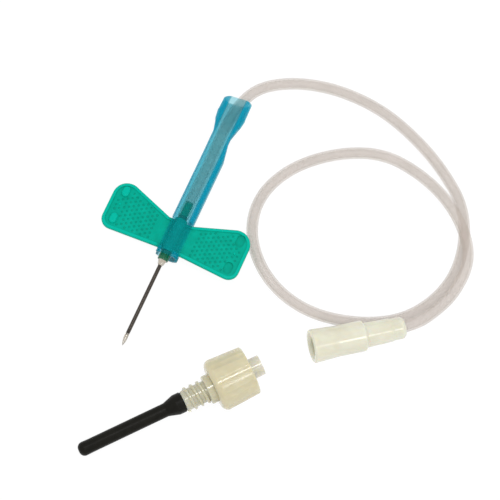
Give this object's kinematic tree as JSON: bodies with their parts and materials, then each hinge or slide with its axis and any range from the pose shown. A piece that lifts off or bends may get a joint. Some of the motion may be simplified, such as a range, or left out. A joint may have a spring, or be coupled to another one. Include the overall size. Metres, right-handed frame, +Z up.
{
  "type": "butterfly needle",
  "caption": "Winged needle with a sliding tube shield, soft looped tubing with a female luer connector, and a loose screw-in luer adapter with a rubber-sleeved needle.",
  "frame": {"origin": "centre of the hub's nose on the needle's axis, where the bare needle leaves the hub", "axes": "-Y along the needle towards its tip, +X level towards the right wing, +Z up; the winged needle lies rolled 7.5 degrees about Y, left wing down, with the bevel facing up"},
  "size_m": [0.0728, 0.0932, 0.0111],
  "materials": {
    "needle_steel": "drawn bright",
    "needle_adhesive": "cured",
    "hub_green": "moulded",
    "wing_green": "moulded",
    "shield_blue": "moulded",
    "tube_clear": "extruded",
    "connector_cream": "moulded",
    "adapter_cream": "moulded",
    "sleeve_rubber": "satin"
  },
  "bodies": {
    "needle_set": {"cannula": "needle_steel", "cannula_bond": "needle_adhesive", "needle_hub": "hub_green", "wing_sleeve": "wing_green", "tube": "tube_clear", "luer_connector": "connector_cream", "adapter_body": "adapter_cream", "adapter_cannula": "needle_steel", "rubber_sleeve": "sleeve_rubber"},
    "shield": {"shield": "shield_blue"},
    "wing_left": {"wing_left": "wing_green"},
    "wing_right": {"wing_right": "wing_green"}
  },
  "joints": [
    {"name": "shield_slide", "type": "slide", "parent": "needle_set", "child": "shield", "axis": [0, -1, 0], "range_m": [0, 0.022]},
    {"name": "wing_left_fold", "type": "hinge", "parent": "needle_set", "child": "wing_left", "pos_m": [-0.00363, 0, 0.00003], "axis": [0, 1, 0], "range_deg": [0, 100], "stiffness_Nm_per_rad": 0.0002},
    {"name": "wing_right_fold", "type": "hinge", "parent": "needle_set", "child": "wing_right", "pos_m": [0.0035, 0, 0.00097], "axis": [0, -1, 0], "range_deg": [0, 100], "stiffness_Nm_per_rad": 0.0002}
  ]
}
